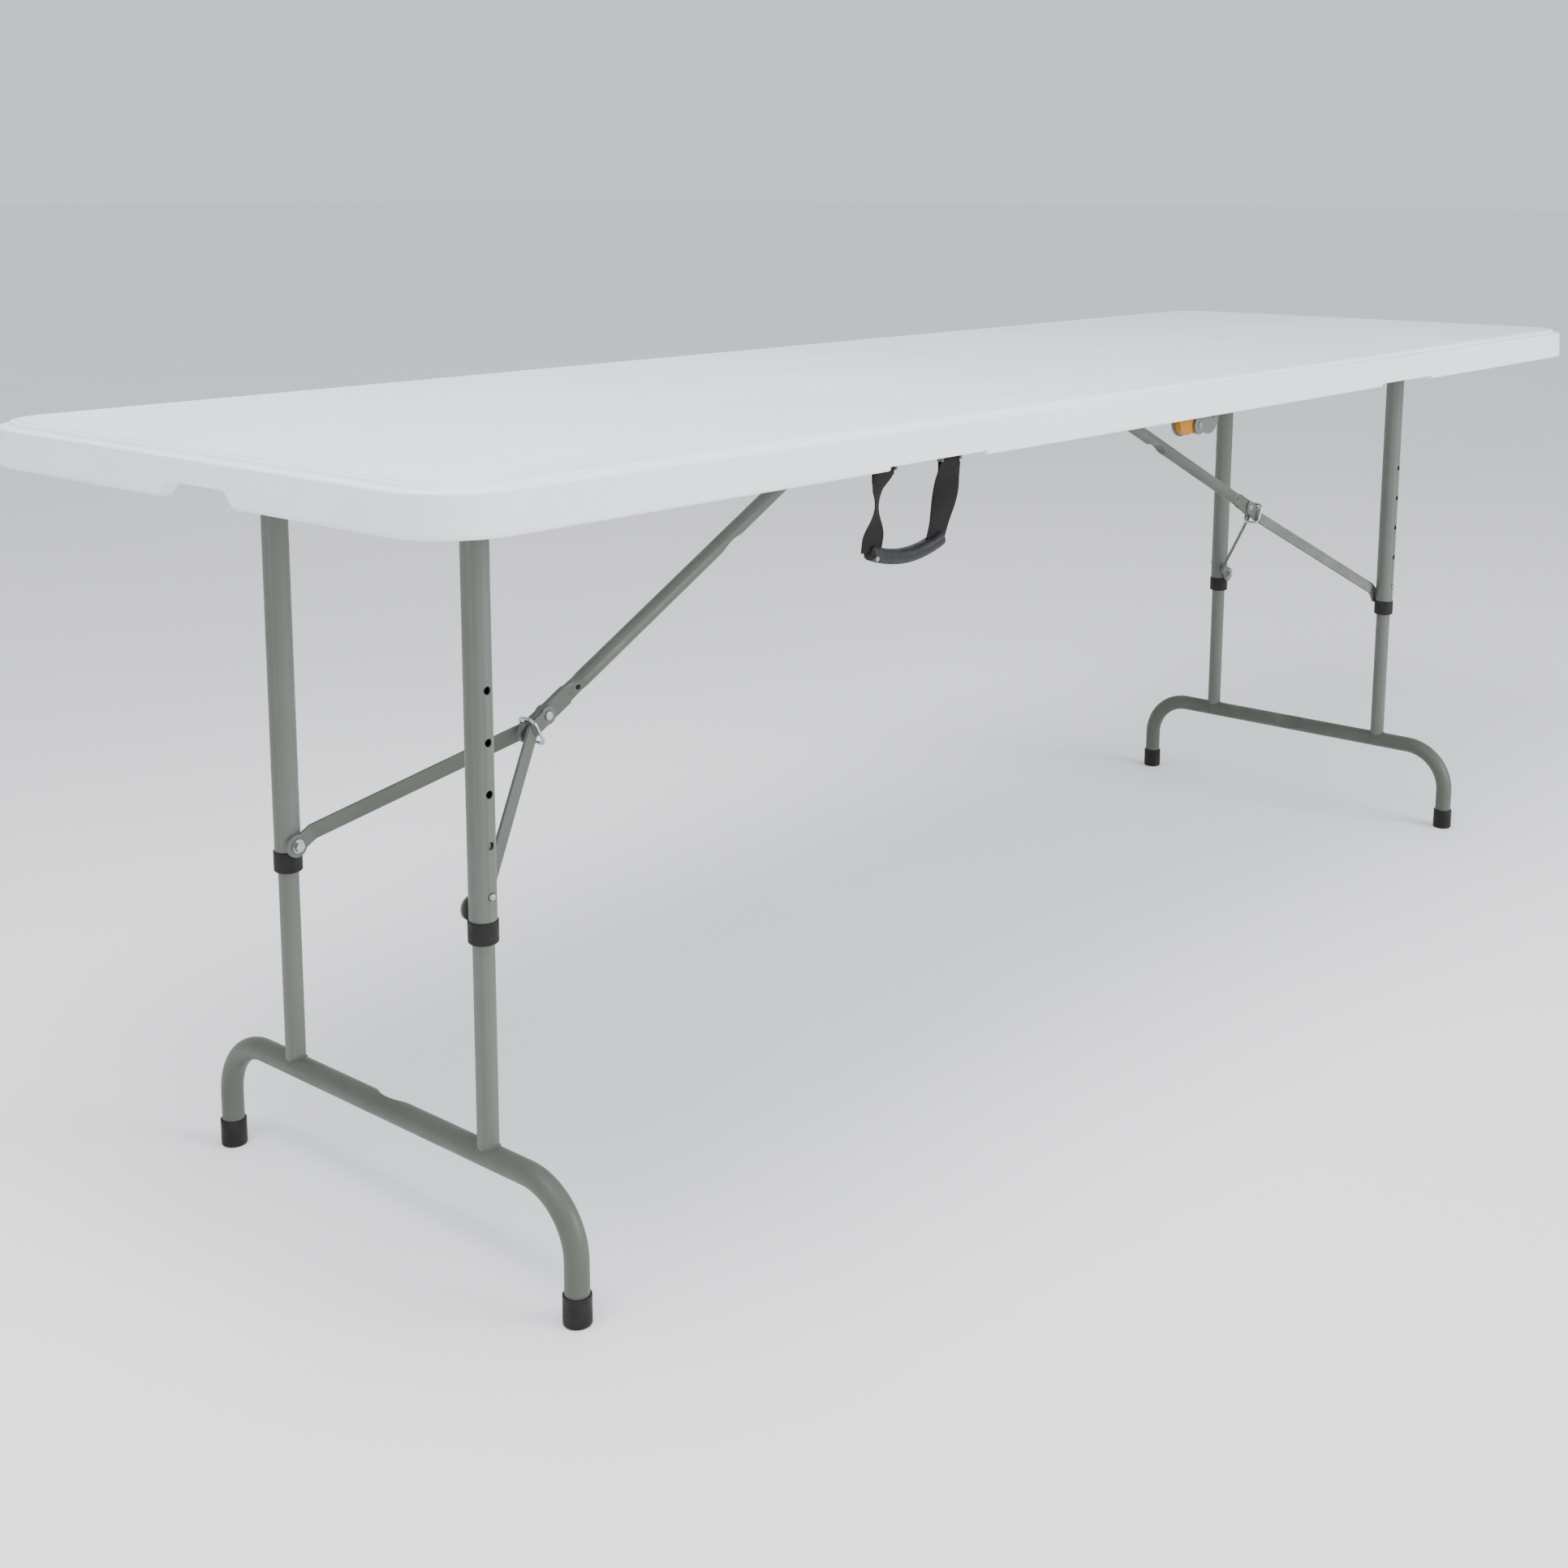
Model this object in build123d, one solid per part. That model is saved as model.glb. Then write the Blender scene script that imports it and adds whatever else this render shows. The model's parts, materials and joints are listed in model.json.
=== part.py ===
"""Height-adjustable folding table, 8 ft long, whose top also folds in half.

X runs along the table, the near half is at -X and the far half at +X.  Y runs across it, with the
front long edge (the one with the carrying handle) at -Y.  Z is up.  The origin is on the floor under
the middle of the top.  Millimetres.  The legs stand at their highest setting.
"""

import os
from math import acos, atan2, cos, hypot, radians, sin

from build123d import *

# ---- driving dimensions --------------------------------------------------------------------------
LENGTH = 2438.4  # 96 in
WIDTH = 742.0
HEIGHT = 836.0
CORNER_RADIUS = 75.0
SKIRT_HEIGHT = 44.0
SLAB_THICKNESS = 22.0
SKIRT_THICKNESS = 16.0
SEAM_GAP = 0.8
FIT = 0.1  # radial gap between nested pieces of one body
RUN = 0.06  # radial gap of a running fit

LEG_X = 1005.0
LEG_Y = 157.0
PIVOT_Z = 795.0
UPPER_LEG_R = 14.0
LOWER_LEG_R = 11.0
TUBE_WALL = 1.5
HOLE_PITCH = 50.8  # 2 in
HOLE_COUNT = 5
BUTTON_Z = 400.0
COLLAR_MIDDLE_Z = 363.0  # leaves room under the collars for the foot bar to rise four hole pitches
COLLAR_HEIGHT = 23.0

FOOT_Y = 281.0
FOOT_R = 12.5
CROSSBAR_Z = 131.0
FOOT_BEND = 68.0
CAP_HEIGHT = 31.0
CAP_R = 14.5

ANCHOR_X = 229.0
ANCHOR_Z = 797.0
OVER_CENTRE = 6.5  # the far anchor sits this much nearer its legs, so its knee stands past straight
BOLT_Z = 382.0
FOLD_DEG = 86.0  # the cross bar comes to rest against the brace here
FOLDED_KNEE_Z = 790.0
BRACE_R = 9.5

RAIL_Y = 316.0
RAIL_SIZE = 20.0
HINGE_Z = 780.0

# ---- worked-out values ---------------------------------------------------------------------------
SKIRT_Z = HEIGHT - SKIRT_HEIGHT
UNDER_Z = HEIGHT - SLAB_THICKNESS
COLLAR_TOP_Z = COLLAR_MIDDLE_Z + COLLAR_HEIGHT / 2
SEAM_X = SEAM_GAP / 2
LEG_REACH = PIVOT_Z - BOLT_Z
FOLDED_BOLT_X = LEG_X - LEG_REACH * sin(radians(FOLD_DEG))
FOLDED_BOLT_Z = PIVOT_Z - LEG_REACH * cos(radians(FOLD_DEG))
LINK_SUM = hypot(LEG_X - ANCHOR_X, ANCHOR_Z - BOLT_Z)
FOLDED_RUN = FOLDED_BOLT_X - ANCHOR_X
FOLDED_RISE = FOLDED_KNEE_Z - FOLDED_BOLT_Z
# The two links add up to the straight distance, and close again with the knee beyond the bolt.
UPPER_LINK = (LINK_SUM**2 - FOLDED_RUN**2 - FOLDED_RISE**2) / (2 * (LINK_SUM - FOLDED_RUN))
LOWER_LINK = LINK_SUM - UPPER_LINK

os.makedirs("parts", exist_ok=True)


# ---- helpers -------------------------------------------------------------------------------------
def save(name, *solids):
    """Write one node, a single solid or a group of separate ones."""
    pieces = [s for item in solids for s in item.solids()]
    shape = pieces[0] if len(pieces) == 1 else Compound(children=pieces)
    export_step(shape, f"parts/{name}.step")


def block(x0, x1, y0, y1, z0, z1):
    """A box from its limits."""
    centre = Pos((x0 + x1) / 2, (y0 + y1) / 2, (z0 + z1) / 2)
    return centre * Box(abs(x1 - x0), abs(y1 - y0), abs(z1 - z0))


def rod(start, end, radius):
    """A round bar between two points."""
    start = Vector(*start)
    end = Vector(*end)
    section = Plane(origin=start, z_dir=end - start) * Circle(radius)
    return extrude(section, (end - start).length)


def tube(start, end, radius, inner):
    """A round tube between two points."""
    return rod(start, end, radius) - rod(start, end, inner)


def rod_y(x, z, y0, y1, radius):
    """A round bar across the table."""
    return rod((x, y0, z), (x, y1, z), radius)


def bent_bar(points, radius, bend):
    """A round bar along straight runs joined by tangent arcs."""
    path = FilletPolyline(*points, radius=bend)
    section = Plane(origin=path @ 0, z_dir=path % 0) * Circle(radius)
    return sweep(section, path=path)


def link_frame(start, end):
    """A plane with X along a link and Z square to it, upwards, for drawing links flat."""
    along = (Vector(*end) - Vector(*start)).normalized()
    up = Vector(0, 0, 1)
    square = (up - along * up.dot(along)).normalized()
    return Plane(origin=start, x_dir=along, z_dir=square).location


def knee_point(side, anchor_x):
    """Where the knee stands, on the upper side of the line from the anchor to the leg bolt."""
    run = LEG_X - anchor_x
    drop = ANCHOR_Z - BOLT_Z
    reach = hypot(run, drop)
    cosine = (UPPER_LINK**2 + reach**2 - LOWER_LINK**2) / (2 * UPPER_LINK * reach)
    angle = atan2(drop, run) - acos(min(1.0, cosine))
    x = anchor_x + UPPER_LINK * cos(angle)
    return (side * x, 0, ANCHOR_Z - UPPER_LINK * sin(angle))


# ---- the top -------------------------------------------------------------------------------------
SHOULDER_DROP = 4.5
SHOULDER_WIDTH = 12.0
SKIRT_DRAFT = 2.5
BEAD_INSET = 20.0
BEAD_GAP = 3.5
BEAD_DEPTH = 1.3
SEAM_BEVEL = 1.4
SEAM_RIB_DROP = 8.0
SEAM_RIB_WIDTH = 12.6
DIMPLE_DEPTH = 9.0
GRIP_NOTCH_HEIGHT = 16.0
GRIP_NOTCH_Y = (-90.0, 30.0)
GRIP_NOTCH_SLOPE = 16.0
HANDLE_NOTCH_HEIGHT = 5.0
HANDLE_NOTCH_X = (482.0, 648.0)
CUT_OVER = 20.0


def half_plan(inset, x_start):
    """Plan of one half, straight at the seam and rounded at its two outer corners."""
    x_end = LENGTH / 2 - inset
    sheet = Pos((x_start + x_end) / 2, 0) * Rectangle(x_end - x_start, WIDTH - 2 * inset)
    corners = sheet.vertices().group_by(Axis.X)[-1]
    return fillet(corners, CORNER_RADIUS - inset)


def end_notch():
    """The hand hold in the end skirt, with sloping ends."""
    low, high = GRIP_NOTCH_Y
    top = SKIRT_Z + GRIP_NOTCH_HEIGHT
    outline = Polyline(
        (low - 2, SKIRT_Z - CUT_OVER),
        (low, SKIRT_Z),
        (low + GRIP_NOTCH_SLOPE, top),
        (high - GRIP_NOTCH_SLOPE, top),
        (high, SKIRT_Z),
        (high + 2, SKIRT_Z - CUT_OVER),
        close=True,
    )
    face = make_face(Plane.YZ * outline)
    solid = extrude(face, 3 * SKIRT_THICKNESS, dir=(1, 0, 0))
    return Pos(LENGTH / 2 - 2 * SKIRT_THICKNESS, 0, 0) * solid


def top_half():
    """One moulded half of the top, drawn on the +X side."""
    shoulder_z = HEIGHT - SHOULDER_DROP
    skirt = extrude(Pos(0, 0, SKIRT_Z) * half_plan(0, -CUT_OVER), shoulder_z - SKIRT_Z, taper=SKIRT_DRAFT)
    rims = skirt.edges().group_by(Axis.Z)
    skirt = fillet(rims[0].filter_by(lambda e: e.center().X > 0), 4.0)
    rims = skirt.edges().group_by(Axis.Z)
    skirt = fillet(rims[-1].filter_by(lambda e: e.center().X > 0), 2.5)
    deck = extrude(Pos(0, 0, shoulder_z) * half_plan(SHOULDER_WIDTH, -CUT_OVER), SHOULDER_DROP, taper=20)
    deck = fillet(deck.edges().group_by(Axis.Z)[-1].filter_by(lambda e: e.center().X > 0), 1.4)
    solid = skirt + deck
    groove = half_plan(BEAD_INSET, -CUT_OVER) - half_plan(BEAD_INSET + BEAD_GAP, -2 * CUT_OVER)
    solid -= extrude(Pos(0, 0, HEIGHT - BEAD_DEPTH) * groove, 2 * BEAD_DEPTH)
    pocket = half_plan(SKIRT_THICKNESS, SEAM_X + SEAM_RIB_WIDTH)
    solid -= extrude(Pos(0, 0, SKIRT_Z - 1) * pocket, SKIRT_HEIGHT - SLAB_THICKNESS + 1)
    rib = half_plan(SKIRT_THICKNESS, -CUT_OVER)
    solid -= extrude(Pos(0, 0, SKIRT_Z - 1) * rib, UNDER_Z - SEAM_RIB_DROP - SKIRT_Z + 1)
    solid -= end_notch()
    x0, x1 = HANDLE_NOTCH_X
    solid -= block(x0, x1, -WIDTH, -WIDTH / 2 + SKIRT_THICKNESS + 1, SKIRT_Z - 1, SKIRT_Z + HANDLE_NOTCH_HEIGHT)
    dimple = Cone(10.0, 6.0, DIMPLE_DEPTH)
    for column in range(9):
        x = 130 + column * 105
        for y in (-245, -130, -40, 40, 130, 245):
            solid -= Pos(x, y, UNDER_Z + DIMPLE_DEPTH / 2) * dimple
    solid -= block(-2 * LENGTH, SEAM_X, -WIDTH, WIDTH, 0, 2 * HEIGHT)
    side = SEAM_BEVEL * 2**0.5
    solid -= Pos(SEAM_X, 0, HEIGHT) * Rot(0, 45, 0) * Box(side, 2 * WIDTH, side)
    for edge in (-1, 1):
        corner = Pos(SEAM_X, edge * WIDTH / 2, HEIGHT) * Rot(0, 0, 45)
        solid -= corner * Box(side, side, 3 * SKIRT_HEIGHT)
    return solid


# ---- rails, clamps and the cross tubes -----------------------------------------------------------
RAIL_START_X = 62.0
RAIL_END_X = 1170.0
SCREW_HEAD_R = 5.0
SCREW_HEAD_HEIGHT = 2.4
CLAMP_Y = 240.0
CLAMP_WIDTH = 26.0
CROSS_TUBE_R = 11.0
CROSS_TUBE_END_Y = 268.0
ANCHOR_TUBE_R = 8.0


def rail(side, edge):
    """A square steel rail under the slab, beside one long edge."""
    y = edge * RAIL_Y
    half = RAIL_SIZE / 2
    x0 = side * RAIL_START_X
    x1 = side * RAIL_END_X
    outer = block(x0, x1, y - half, y + half, UNDER_Z - RAIL_SIZE, UNDER_Z)
    inner = half - TUBE_WALL
    z_mid = UNDER_Z - half
    return outer - block(x0 * 0.5, x1 * 1.1, y - inner, y + inner, z_mid - inner, z_mid + inner)


def pan_head(x, y, z):
    """A domed screw head hanging from a face at z."""
    head = Pos(x, y, z - SCREW_HEAD_HEIGHT / 2) * Cylinder(SCREW_HEAD_R, SCREW_HEAD_HEIGHT)
    return fillet(head.edges().group_by(Axis.Z)[0], 1.4)


def rail_screws(side):
    """The screws that hold both rails of one half."""
    z = UNDER_Z - RAIL_SIZE
    spots = [90, 350, 620, 890, 1145]
    return [pan_head(side * x, edge * RAIL_Y, z) for x in spots for edge in (-1, 1)]


def leg_clamps(side):
    """The two saddles that hold the leg cross tube under the slab and let it turn."""
    clamps = []
    for edge in (-1, 1):
        y0 = edge * CLAMP_Y - CLAMP_WIDTH / 2
        y1 = edge * CLAMP_Y + CLAMP_WIDTH / 2
        x = side * LEG_X
        wall = 3.0
        saddle = rod_y(x, PIVOT_Z, y0, y1, CROSS_TUBE_R + wall)
        saddle += block(x - 14, x + 14, y0, y1, PIVOT_Z, UNDER_Z)
        saddle += block(x - 34, x + 34, y0, y1, UNDER_Z - wall, UNDER_Z)
        saddle -= rod_y(x, PIVOT_Z, y0 - 1, y1 + 1, CROSS_TUBE_R + RUN)
        for offset in (-25, 25):
            saddle += pan_head(x + offset, edge * CLAMP_Y, UNDER_Z - wall)
        clamps.append(saddle)
    return clamps


def anchor_tube(side, anchor_x):
    """The tube between the rails that the brace turns on."""
    end = RAIL_Y - RAIL_SIZE / 2
    x = side * anchor_x
    return rod_y(x, ANCHOR_Z, -end, end, ANCHOR_TUBE_R) - rod_y(x, ANCHOR_Z, -end, end, ANCHOR_TUBE_R - TUBE_WALL)


# ---- legs ----------------------------------------------------------------------------------------
LEG_TOP_RISE = 8.0
HOLE_R = 4.1
COLLAR_R = 15.3
LOWER_LEG_TOP_Z = 486.0
GUIDE_HEIGHT = 16.0


def cross_tube(side):
    """The tube across the top of a leg set, which the set turns on."""
    x = side * LEG_X
    y = CROSS_TUBE_END_Y
    return rod_y(x, PIVOT_Z, -y, y, CROSS_TUBE_R) - rod_y(x, PIVOT_Z, -y, y, CROSS_TUBE_R - TUBE_WALL)


def upper_leg(side, edge):
    """An outer leg tube with its row of height holes facing out across the table."""
    x = side * LEG_X
    y = edge * LEG_Y
    bottom = COLLAR_TOP_Z - COLLAR_HEIGHT + 4
    leg = tube((x, y, bottom), (x, y, PIVOT_Z + LEG_TOP_RISE), UPPER_LEG_R, UPPER_LEG_R - TUBE_WALL)
    leg -= rod_y(x, PIVOT_Z, y - 30, y + 30, CROSS_TUBE_R + FIT)
    for step in range(HOLE_COUNT):
        leg -= rod_y(x, BUTTON_Z + step * HOLE_PITCH, y, y + edge * 2 * UPPER_LEG_R, HOLE_R)
    return leg


def collar(side, edge):
    """The plastic collar in and round the mouth of an upper leg."""
    x = side * LEG_X
    y = edge * LEG_Y
    low = COLLAR_TOP_Z - COLLAR_HEIGHT
    seat = low + 4
    outer = rod((x, y, low), (x, y, COLLAR_TOP_Z), COLLAR_R)
    outer = fillet(outer.edges().group_by(Axis.Z)[0], 2.0)
    outer = fillet(outer.edges().group_by(Axis.Z)[-1], 0.8)
    outer -= rod((x, y, seat - FIT), (x, y, COLLAR_TOP_Z + 1), UPPER_LEG_R + FIT)
    liner = rod((x, y, seat - 1), (x, y, COLLAR_TOP_Z + 12), UPPER_LEG_R - TUBE_WALL - FIT)
    whole = outer + liner
    return whole - rod((x, y, low - 1), (x, y, COLLAR_TOP_Z + 20), LOWER_LEG_R + 0.2)


def lower_leg(side, edge):
    """An inner leg tube, saddled on to the cross bar of the foot frame."""
    x = side * LEG_X
    y = edge * LEG_Y
    leg = tube((x, y, CROSSBAR_Z), (x, y, LOWER_LEG_TOP_Z), LOWER_LEG_R, LOWER_LEG_R - TUBE_WALL)
    leg -= rod_y(x, CROSSBAR_Z, y - 30, y + 30, FOOT_R + FIT)
    return leg - rod_y(x, BUTTON_Z, y, y + edge * 2 * UPPER_LEG_R, HOLE_R)


def leg_guide(side, edge):
    """The plastic plug in the top of an inner leg, which steadies it in the outer one."""
    x = side * LEG_X
    y = edge * LEG_Y
    flange = rod((x, y, LOWER_LEG_TOP_Z + FIT), (x, y, LOWER_LEG_TOP_Z + 6), UPPER_LEG_R - TUBE_WALL - 0.25)
    plug = rod((x, y, LOWER_LEG_TOP_Z - GUIDE_HEIGHT), (x, y, LOWER_LEG_TOP_Z + 2), LOWER_LEG_R - TUBE_WALL - FIT)
    return flange + plug


def snap_button(side, edge):
    """The spring button that locks the height, with the leaf it stands on."""
    x = side * LEG_X
    y = edge * LEG_Y
    inside = y + edge * 8.4
    stem = rod_y(x, BUTTON_Z, inside, y + edge * (UPPER_LEG_R + 2.6), 3.7)
    tip = stem.edges().group_by(Axis.Y)[-1 if edge > 0 else 0]
    stem = fillet(tip, 2.2)
    leaf = block(x - 3.5, x + 3.5, y + edge * 7.4, inside, BUTTON_Z - 42, BUTTON_Z + 6)
    return stem + leaf


# ---- foot frame ----------------------------------------------------------------------------------
FOOT_WALL = 1.5
CAP_FLOOR = 5.0
DENT_RADIUS = 60.0
DENT_DEPTH = 7.0
DENT_TILT = 30.0


def foot_tube(side):
    """The bent foot tube, dented in the middle where the brace nests when folded."""
    x = side * LEG_X
    ends = CAP_FLOOR + FIT
    points = [(x, -FOOT_Y, ends), (x, -FOOT_Y, CROSSBAR_Z), (x, FOOT_Y, CROSSBAR_Z), (x, FOOT_Y, ends)]
    tilt = radians(DENT_TILT)
    inward = Vector(-side * cos(tilt), 0, sin(tilt))
    across = Vector(side * sin(tilt), 0, cos(tilt))

    def bar(radius, dent):
        solid = bent_bar(points, radius, FOOT_BEND)
        axis = Vector(x, 0, CROSSBAR_Z) + inward * (radius - dent + DENT_RADIUS)
        return solid - rod(tuple(axis - across * 40), tuple(axis + across * 40), DENT_RADIUS)

    return bar(FOOT_R, DENT_DEPTH) - bar(FOOT_R - FOOT_WALL, DENT_DEPTH)


def foot_cap(side, edge):
    """A plastic cap on the end of the foot tube."""
    x = side * LEG_X
    y = edge * FOOT_Y
    cap = rod((x, y, 0), (x, y, CAP_HEIGHT), CAP_R)
    cap = fillet(cap.edges().group_by(Axis.Z)[0], 2.5)
    cap = fillet(cap.edges().group_by(Axis.Z)[-1], 0.8)
    return cap - rod((x, y, CAP_FLOOR), (x, y, CAP_HEIGHT + 1), FOOT_R + FIT)


# ---- braces --------------------------------------------------------------------------------------
TONGUE_HALF = 3.0
TONGUE_HEIGHT = 22.0
TONGUE_REACH = 42.0
ARM_THICK = 3.0
ARM_HEIGHT = 18.0
ARM_STRAIGHT = 26.0
ARM_TAIL = 14.0
ARM_SPREAD = 0.3
BOLT_EAR_R = 12.5
RIVET_R = 3.0
SLEEVE_R = 10.5
SLEEVE_HALF = 20.0
PINCH_AT = 290.0
PINCH_RADIUS = 42.0
PINCH_DEPTH = 7.5


def brace_tube(frame):
    """The long upper brace: round, pinched on its lower side, flattened to a tongue at the knee."""
    length = UPPER_LINK
    round_end = length - 62
    flat_start = length - 36

    def bar(radius, pinch, start):
        solid = extrude(Plane(origin=(start, 0, 0), z_dir=(1, 0, 0)) * Circle(radius), round_end - start)
        edge = -(radius - pinch + PINCH_RADIUS)
        return solid - rod((PINCH_AT, -30, edge), (PINCH_AT, 30, edge), PINCH_RADIUS)

    shaft = bar(BRACE_R, PINCH_DEPTH, 4.0) - bar(BRACE_R - TUBE_WALL, PINCH_DEPTH, 0.0)
    round_face = Plane(origin=(round_end, 0, 0), z_dir=(1, 0, 0)) * Circle(BRACE_R)
    flat_plane = Plane(origin=(flat_start, 0, 0), x_dir=(0, 1, 0), z_dir=(1, 0, 0))
    flat_face = flat_plane * RectangleRounded(2 * TONGUE_HALF, TONGUE_HEIGHT, TONGUE_HALF - 0.1)
    shaft += loft([round_face, flat_face])
    tongue_end = length + TONGUE_REACH - TONGUE_HEIGHT / 2
    tongue = block(flat_start - 0.01, tongue_end, -TONGUE_HALF, TONGUE_HALF, -TONGUE_HEIGHT / 2, TONGUE_HEIGHT / 2)
    tongue += rod((tongue_end, -TONGUE_HALF, 0), (tongue_end, TONGUE_HALF, 0), TONGUE_HEIGHT / 2)
    shaft += tongue
    shaft -= rod((length, -20, 0), (length, 20, 0), RIVET_R + FIT)
    shaft -= rod((length - 50, -20, 0), (length - 50, 20, 0), 3.2)
    shaft -= rod((0, -40, 0), (0, 40, 0), SLEEVE_R + FIT)
    return frame * shaft


def brace_sleeve(side, anchor_x):
    """The short sleeve, welded to the brace, that turns on the anchor tube."""
    x = side * anchor_x
    outer = rod_y(x, ANCHOR_Z, -SLEEVE_HALF, SLEEVE_HALF, SLEEVE_R)
    return outer - rod_y(x, ANCHOR_Z, -SLEEVE_HALF, SLEEVE_HALF, ANCHOR_TUBE_R + RUN)


def knee_rivet(frame):
    """The rivet through both arms and the tongue."""
    grip = TONGUE_HALF + 0.1 + ARM_THICK + 0.1
    head = 2.2
    rivet = rod((UPPER_LINK, -grip - head, 0), (UPPER_LINK, grip + head, 0), RIVET_R)
    for way in (-1, 1):
        dome = rod((UPPER_LINK, way * grip, 0), (UPPER_LINK, way * (grip + head), 0), 5.5)
        rim = dome.edges().filter_by(GeomType.CIRCLE).sort_by(lambda e: way * e.center().Y)[-1]
        rivet += fillet(rim, 1.6)
    return frame * rivet


def arm(frame, way):
    """One arm of the V, from the knee out to the inside of a leg; way is its side in the link frame."""
    inner = TONGUE_HALF + 0.1
    ear_outer = LEG_Y - COLLAR_R - ARM_SPREAD
    ear_inner = ear_outer - ARM_THICK
    splay_end = LOWER_LINK - 24
    tail = LOWER_LINK + 2
    outline = Polyline(
        (-2, way * inner),
        (ARM_STRAIGHT, way * inner),
        (splay_end + 1.5, way * ear_inner),
        (tail, way * ear_inner),
        (tail, way * ear_outer),
        (splay_end, way * ear_outer),
        (ARM_STRAIGHT - 1.5, way * (inner + ARM_THICK)),
        (-2, way * (inner + ARM_THICK)),
        close=True,
    )
    strip = extrude(Pos(0, 0, -ARM_HEIGHT / 2) * make_face(outline), ARM_HEIGHT)
    knee_ear = rod((0, way * inner, 0), (0, way * (inner + ARM_THICK), 0), 10.5)
    leg_ear = rod((LOWER_LINK, way * ear_inner, 0), (LOWER_LINK, way * ear_outer, 0), BOLT_EAR_R)
    solid = strip + knee_ear + leg_ear
    solid -= rod((0, -20, 0), (0, 20, 0), RIVET_R + RUN)
    hole = rod((LOWER_LINK, way * (ear_inner - 2), 0), (LOWER_LINK, way * (ear_outer + 2), 0), 3.0 + FIT)
    return frame * (solid - hole)


def arm_bolt(frame, way):
    """The bolt at the end of an arm, with its hexagon head on the inner side."""
    ear_outer = LEG_Y - COLLAR_R - ARM_SPREAD
    ear_inner = ear_outer - ARM_THICK
    shank = rod((LOWER_LINK, way * ear_inner, 0), (LOWER_LINK, way * (ear_outer + 0.8), 0), 3.0)
    seat = Plane(origin=(LOWER_LINK, way * (ear_inner - FIT), 0), z_dir=(0, -way, 0))
    washer = extrude(seat * Circle(7.5), 1.2)
    head_seat = Plane(origin=(LOWER_LINK, way * (ear_inner - FIT - 1.2), 0), z_dir=(0, -way, 0))
    head = extrude(head_seat * RegularPolygon(5.6, 6), 4.2)
    neck = rod((LOWER_LINK, way * (ear_inner - 2), 0), (LOWER_LINK, way * ear_inner, 0), 3.0)
    return frame * (shank + neck + washer + head)


RING_WIRE_R = 2.0
RING_HALF_Y = 12.6
RING_HALF_Z = 16.5
RING_AT = 24.0
RING_DROP = 3.0  # hangs low, round the bent arms of a knee that stands past straight


def lock_ring(frame):
    """The wire ring that drops over the knee and locks it straight."""
    corner = 8.0
    loop = RectangleRounded(2 * RING_HALF_Y, 2 * RING_HALF_Z, corner)
    plane = Plane(origin=(UPPER_LINK + RING_AT, 0, -RING_DROP), x_dir=(0, 1, 0), z_dir=(1, 0, 0))
    path = (plane * loop).wires()[0]
    section = Plane(origin=path @ 0, z_dir=path % 0) * Circle(RING_WIRE_R)
    return frame * sweep(section, path=path, transition=Transition.ROUND)


# ---- centre hinges -------------------------------------------------------------------------------
PLATE_THICK = 3.0
PIN_R = 4.0
PIN_EYE_R = 12.0
LOBE_R = 21.0
LOBE_X = 24.0
LOBE_Z = 788.0
FAR_PLATE_Y = 351.0
NEAR_PLATE_Y = 339.0


def hinge_plate(side, edge, plate_y):
    """A stamped hinge plate: an eye round the pin, a lobe under the skirt, a flange up to the slab."""
    y0 = edge * plate_y - PLATE_THICK / 2
    y1 = edge * plate_y + PLATE_THICK / 2
    plate = rod_y(0, HINGE_Z, y0, y1, PIN_EYE_R)
    plate += rod_y(side * LOBE_X, LOBE_Z, y0, y1, LOBE_R)
    low_edge = rod_y(side * LOBE_X / 2, LOBE_Z - 2, y0, y1, 16.0)
    plate += low_edge
    plate += block(side * (PIN_EYE_R + 6), side * 150, y0, y1, HINGE_Z + 16, UNDER_Z)
    plate += block(side * (PIN_EYE_R + 6), side * (LOBE_X + LOBE_R), y0, y1, LOBE_Z, HINGE_Z + 20)
    flange_y = edge * (RAIL_Y + RAIL_SIZE / 2)
    plate += block(side * 66, side * 150, flange_y, edge * plate_y, HINGE_Z + 30, UNDER_Z)
    plate -= rod_y(side * 33, LOBE_Z + 3, y0 - 1, y1 + 1, 4.5)
    plate -= rod_y(side * 20, LOBE_Z + 2, y0 - 1, y1 + 1, 2.2)
    bore = PIN_R + (RUN if side > 0 else FIT)
    return plate - rod_y(0, HINGE_Z, y0 - 1, y1 + 1, bore)


def hinge_pin(edge):
    """The pin that both plates of one hinge turn on."""
    inner = edge * (NEAR_PLATE_Y - PLATE_THICK / 2 - FIT)
    outer = edge * (FAR_PLATE_Y + PLATE_THICK / 2 + FIT)
    pin = rod_y(0, HINGE_Z, inner - edge * 2.5, outer + edge * 0.9, PIN_R)
    pin += rod_y(0, HINGE_Z, inner - edge * 2.5, inner, 6.5)
    return pin


def latch(edge):
    """The coloured plastic lever between the plates of a hinge."""
    y0 = edge * (NEAR_PLATE_Y + PLATE_THICK / 2 + 0.4)
    y1 = edge * (FAR_PLATE_Y - PLATE_THICK / 2 - 0.4)
    lever = rod_y(-LOBE_X, LOBE_Z, y0, y1, 19.0)
    lever += rod_y(-8, LOBE_Z - 2, y0, y1, 16.5)
    lever -= rod_y(0, HINGE_Z, y0 - edge, y1 + edge, PIN_R + 4.5)
    lever -= block(-80, 40, y0 - edge, y1 + edge, LOBE_Z + 12, LOBE_Z + 60)
    return lever


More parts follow.
